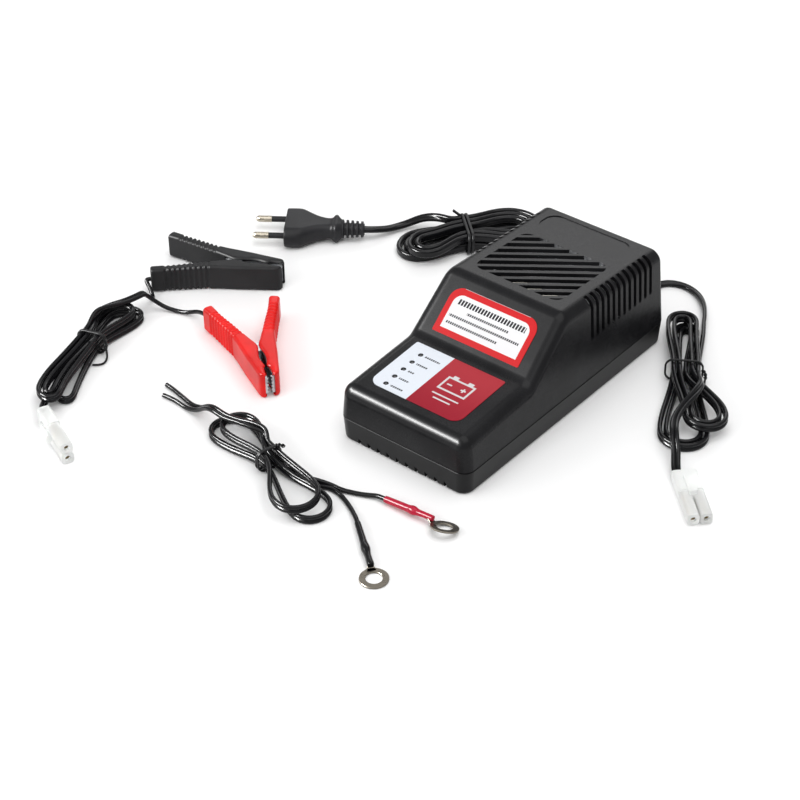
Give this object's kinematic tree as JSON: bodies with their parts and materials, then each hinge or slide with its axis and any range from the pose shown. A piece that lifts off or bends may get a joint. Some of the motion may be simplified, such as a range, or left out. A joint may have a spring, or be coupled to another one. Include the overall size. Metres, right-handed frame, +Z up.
{
  "type": "car battery charger",
  "caption": "Plug-in lead-acid battery charger: a vented housing with a sloping lamp panel, tied mains and output cords, a clip lead with spring clips and a ring-terminal lead.",
  "frame": {"origin": "centre of the housing's flat base, where it rests", "axes": "+X towards the housing's right side, +Y towards its rear, where the cords leave, +Z up"},
  "size_m": [0.3893, 0.3508, 0.0644],
  "materials": {
    "housing_black": "fine satin grain",
    "label_film": "printed film",
    "lamp_lens": "tinted clear lenses",
    "screw_steel": "zinc plated",
    "board": "solder mask",
    "core_steel": "stacked laminations",
    "nylon": "moulded nylon",
    "copper": "enamelled wire",
    "bracket_steel": "bright plated",
    "can_aluminium": "sleeved cans",
    "epoxy_black": "moulded epoxy",
    "sink_aluminium": "extruded",
    "fuse_glass": "clear glass tube with metal ends",
    "cord_black": "soft satin vinyl",
    "tie_nylon": "moulded nylon",
    "pin_brass": "turned brass",
    "connector_nylon": "translucent natural nylon",
    "clip_black": "satin moulding",
    "clip_red": "glossy moulding",
    "jaw_steel": "plated steel",
    "spring_steel": "spring wire",
    "terminal_tin": "tinned copper",
    "sleeve_red": "soft vinyl"
  },
  "bodies": {
    "charger": {"top_cover": "housing_black", "base_tray": "housing_black", "indicator_label": "label_film", "rating_label": "label_film", "status_leds": "lamp_lens", "case_screws": "screw_steel", "circuit_board": "board", "board_screws": "screw_steel", "transformer_core": "core_steel", "transformer_bobbin": "nylon", "transformer_windings": "copper", "transformer_bracket": "bracket_steel", "filter_capacitors": "can_aluminium", "rectifier_diodes": "epoxy_black", "heat_sink": "sink_aluminium", "power_transistor": "epoxy_black", "control_chip": "epoxy_black", "mains_fuse": "fuse_glass", "mains_strain_relief": "cord_black", "output_grommet": "cord_black", "mains_cord_exit": "cord_black", "mains_cord_hank": "cord_black", "mains_cord_end": "cord_black", "mains_hank_tie": "tie_nylon", "mains_plug": "cord_black", "mains_plug_pins": "pin_brass", "plug_pin_sleeves": "cord_black", "output_cord_exit": "cord_black", "output_cord_hank": "cord_black", "output_cord_end": "cord_black", "output_hank_tie": "tie_nylon", "output_connector": "connector_nylon", "output_contacts": "pin_brass", "clip_connector": "connector_nylon", "clip_contacts": "pin_brass", "clip_cord_end": "cord_black", "clip_cord_hank": "cord_black", "clip_cord_split": "cord_black", "clip_hank_tie": "tie_nylon", "clip_lead_black": "cord_black", "clip_lead_red": "cord_black", "black_clip_fixed_grip": "clip_black", "black_clip_fixed_jaw": "jaw_steel", "black_clip_spring": "spring_steel", "red_clip_fixed_grip": "clip_red", "red_clip_fixed_jaw": "jaw_steel", "red_clip_spring": "spring_steel", "ring_cord_ends": "cord_black", "ring_cord_hank": "cord_black", "ring_cord_split": "cord_black", "ring_hank_tie": "tie_nylon", "ring_lead_black": "cord_black", "ring_lead_red": "cord_black", "ring_terminals": "terminal_tin", "red_sleeve": "sleeve_red", "black_sleeve": "cord_black"},
    "black_clip_jaw": {"black_clip_moving_grip": "clip_black", "black_clip_moving_jaw": "jaw_steel"},
    "red_clip_jaw": {"red_clip_moving_grip": "clip_red", "red_clip_moving_jaw": "jaw_steel"}
  },
  "joints": [
    {"name": "black_clip_pivot", "type": "hinge", "parent": "charger", "child": "black_clip_jaw", "pos_m": [-0.1872, -0.0155, 0], "axis": [0, 0, 1], "range_deg": [0, 22.5], "stiffness_Nm_per_rad": 0.4, "springref_deg": -22.92, "deforming": ["black_clip_spring"]},
    {"name": "red_clip_pivot", "type": "hinge", "parent": "charger", "child": "red_clip_jaw", "pos_m": [-0.1177, -0.0717, 0], "axis": [0, 0, 1], "range_deg": [0, 22.5], "stiffness_Nm_per_rad": 0.4, "springref_deg": -22.92, "deforming": ["red_clip_spring"]}
  ]
}
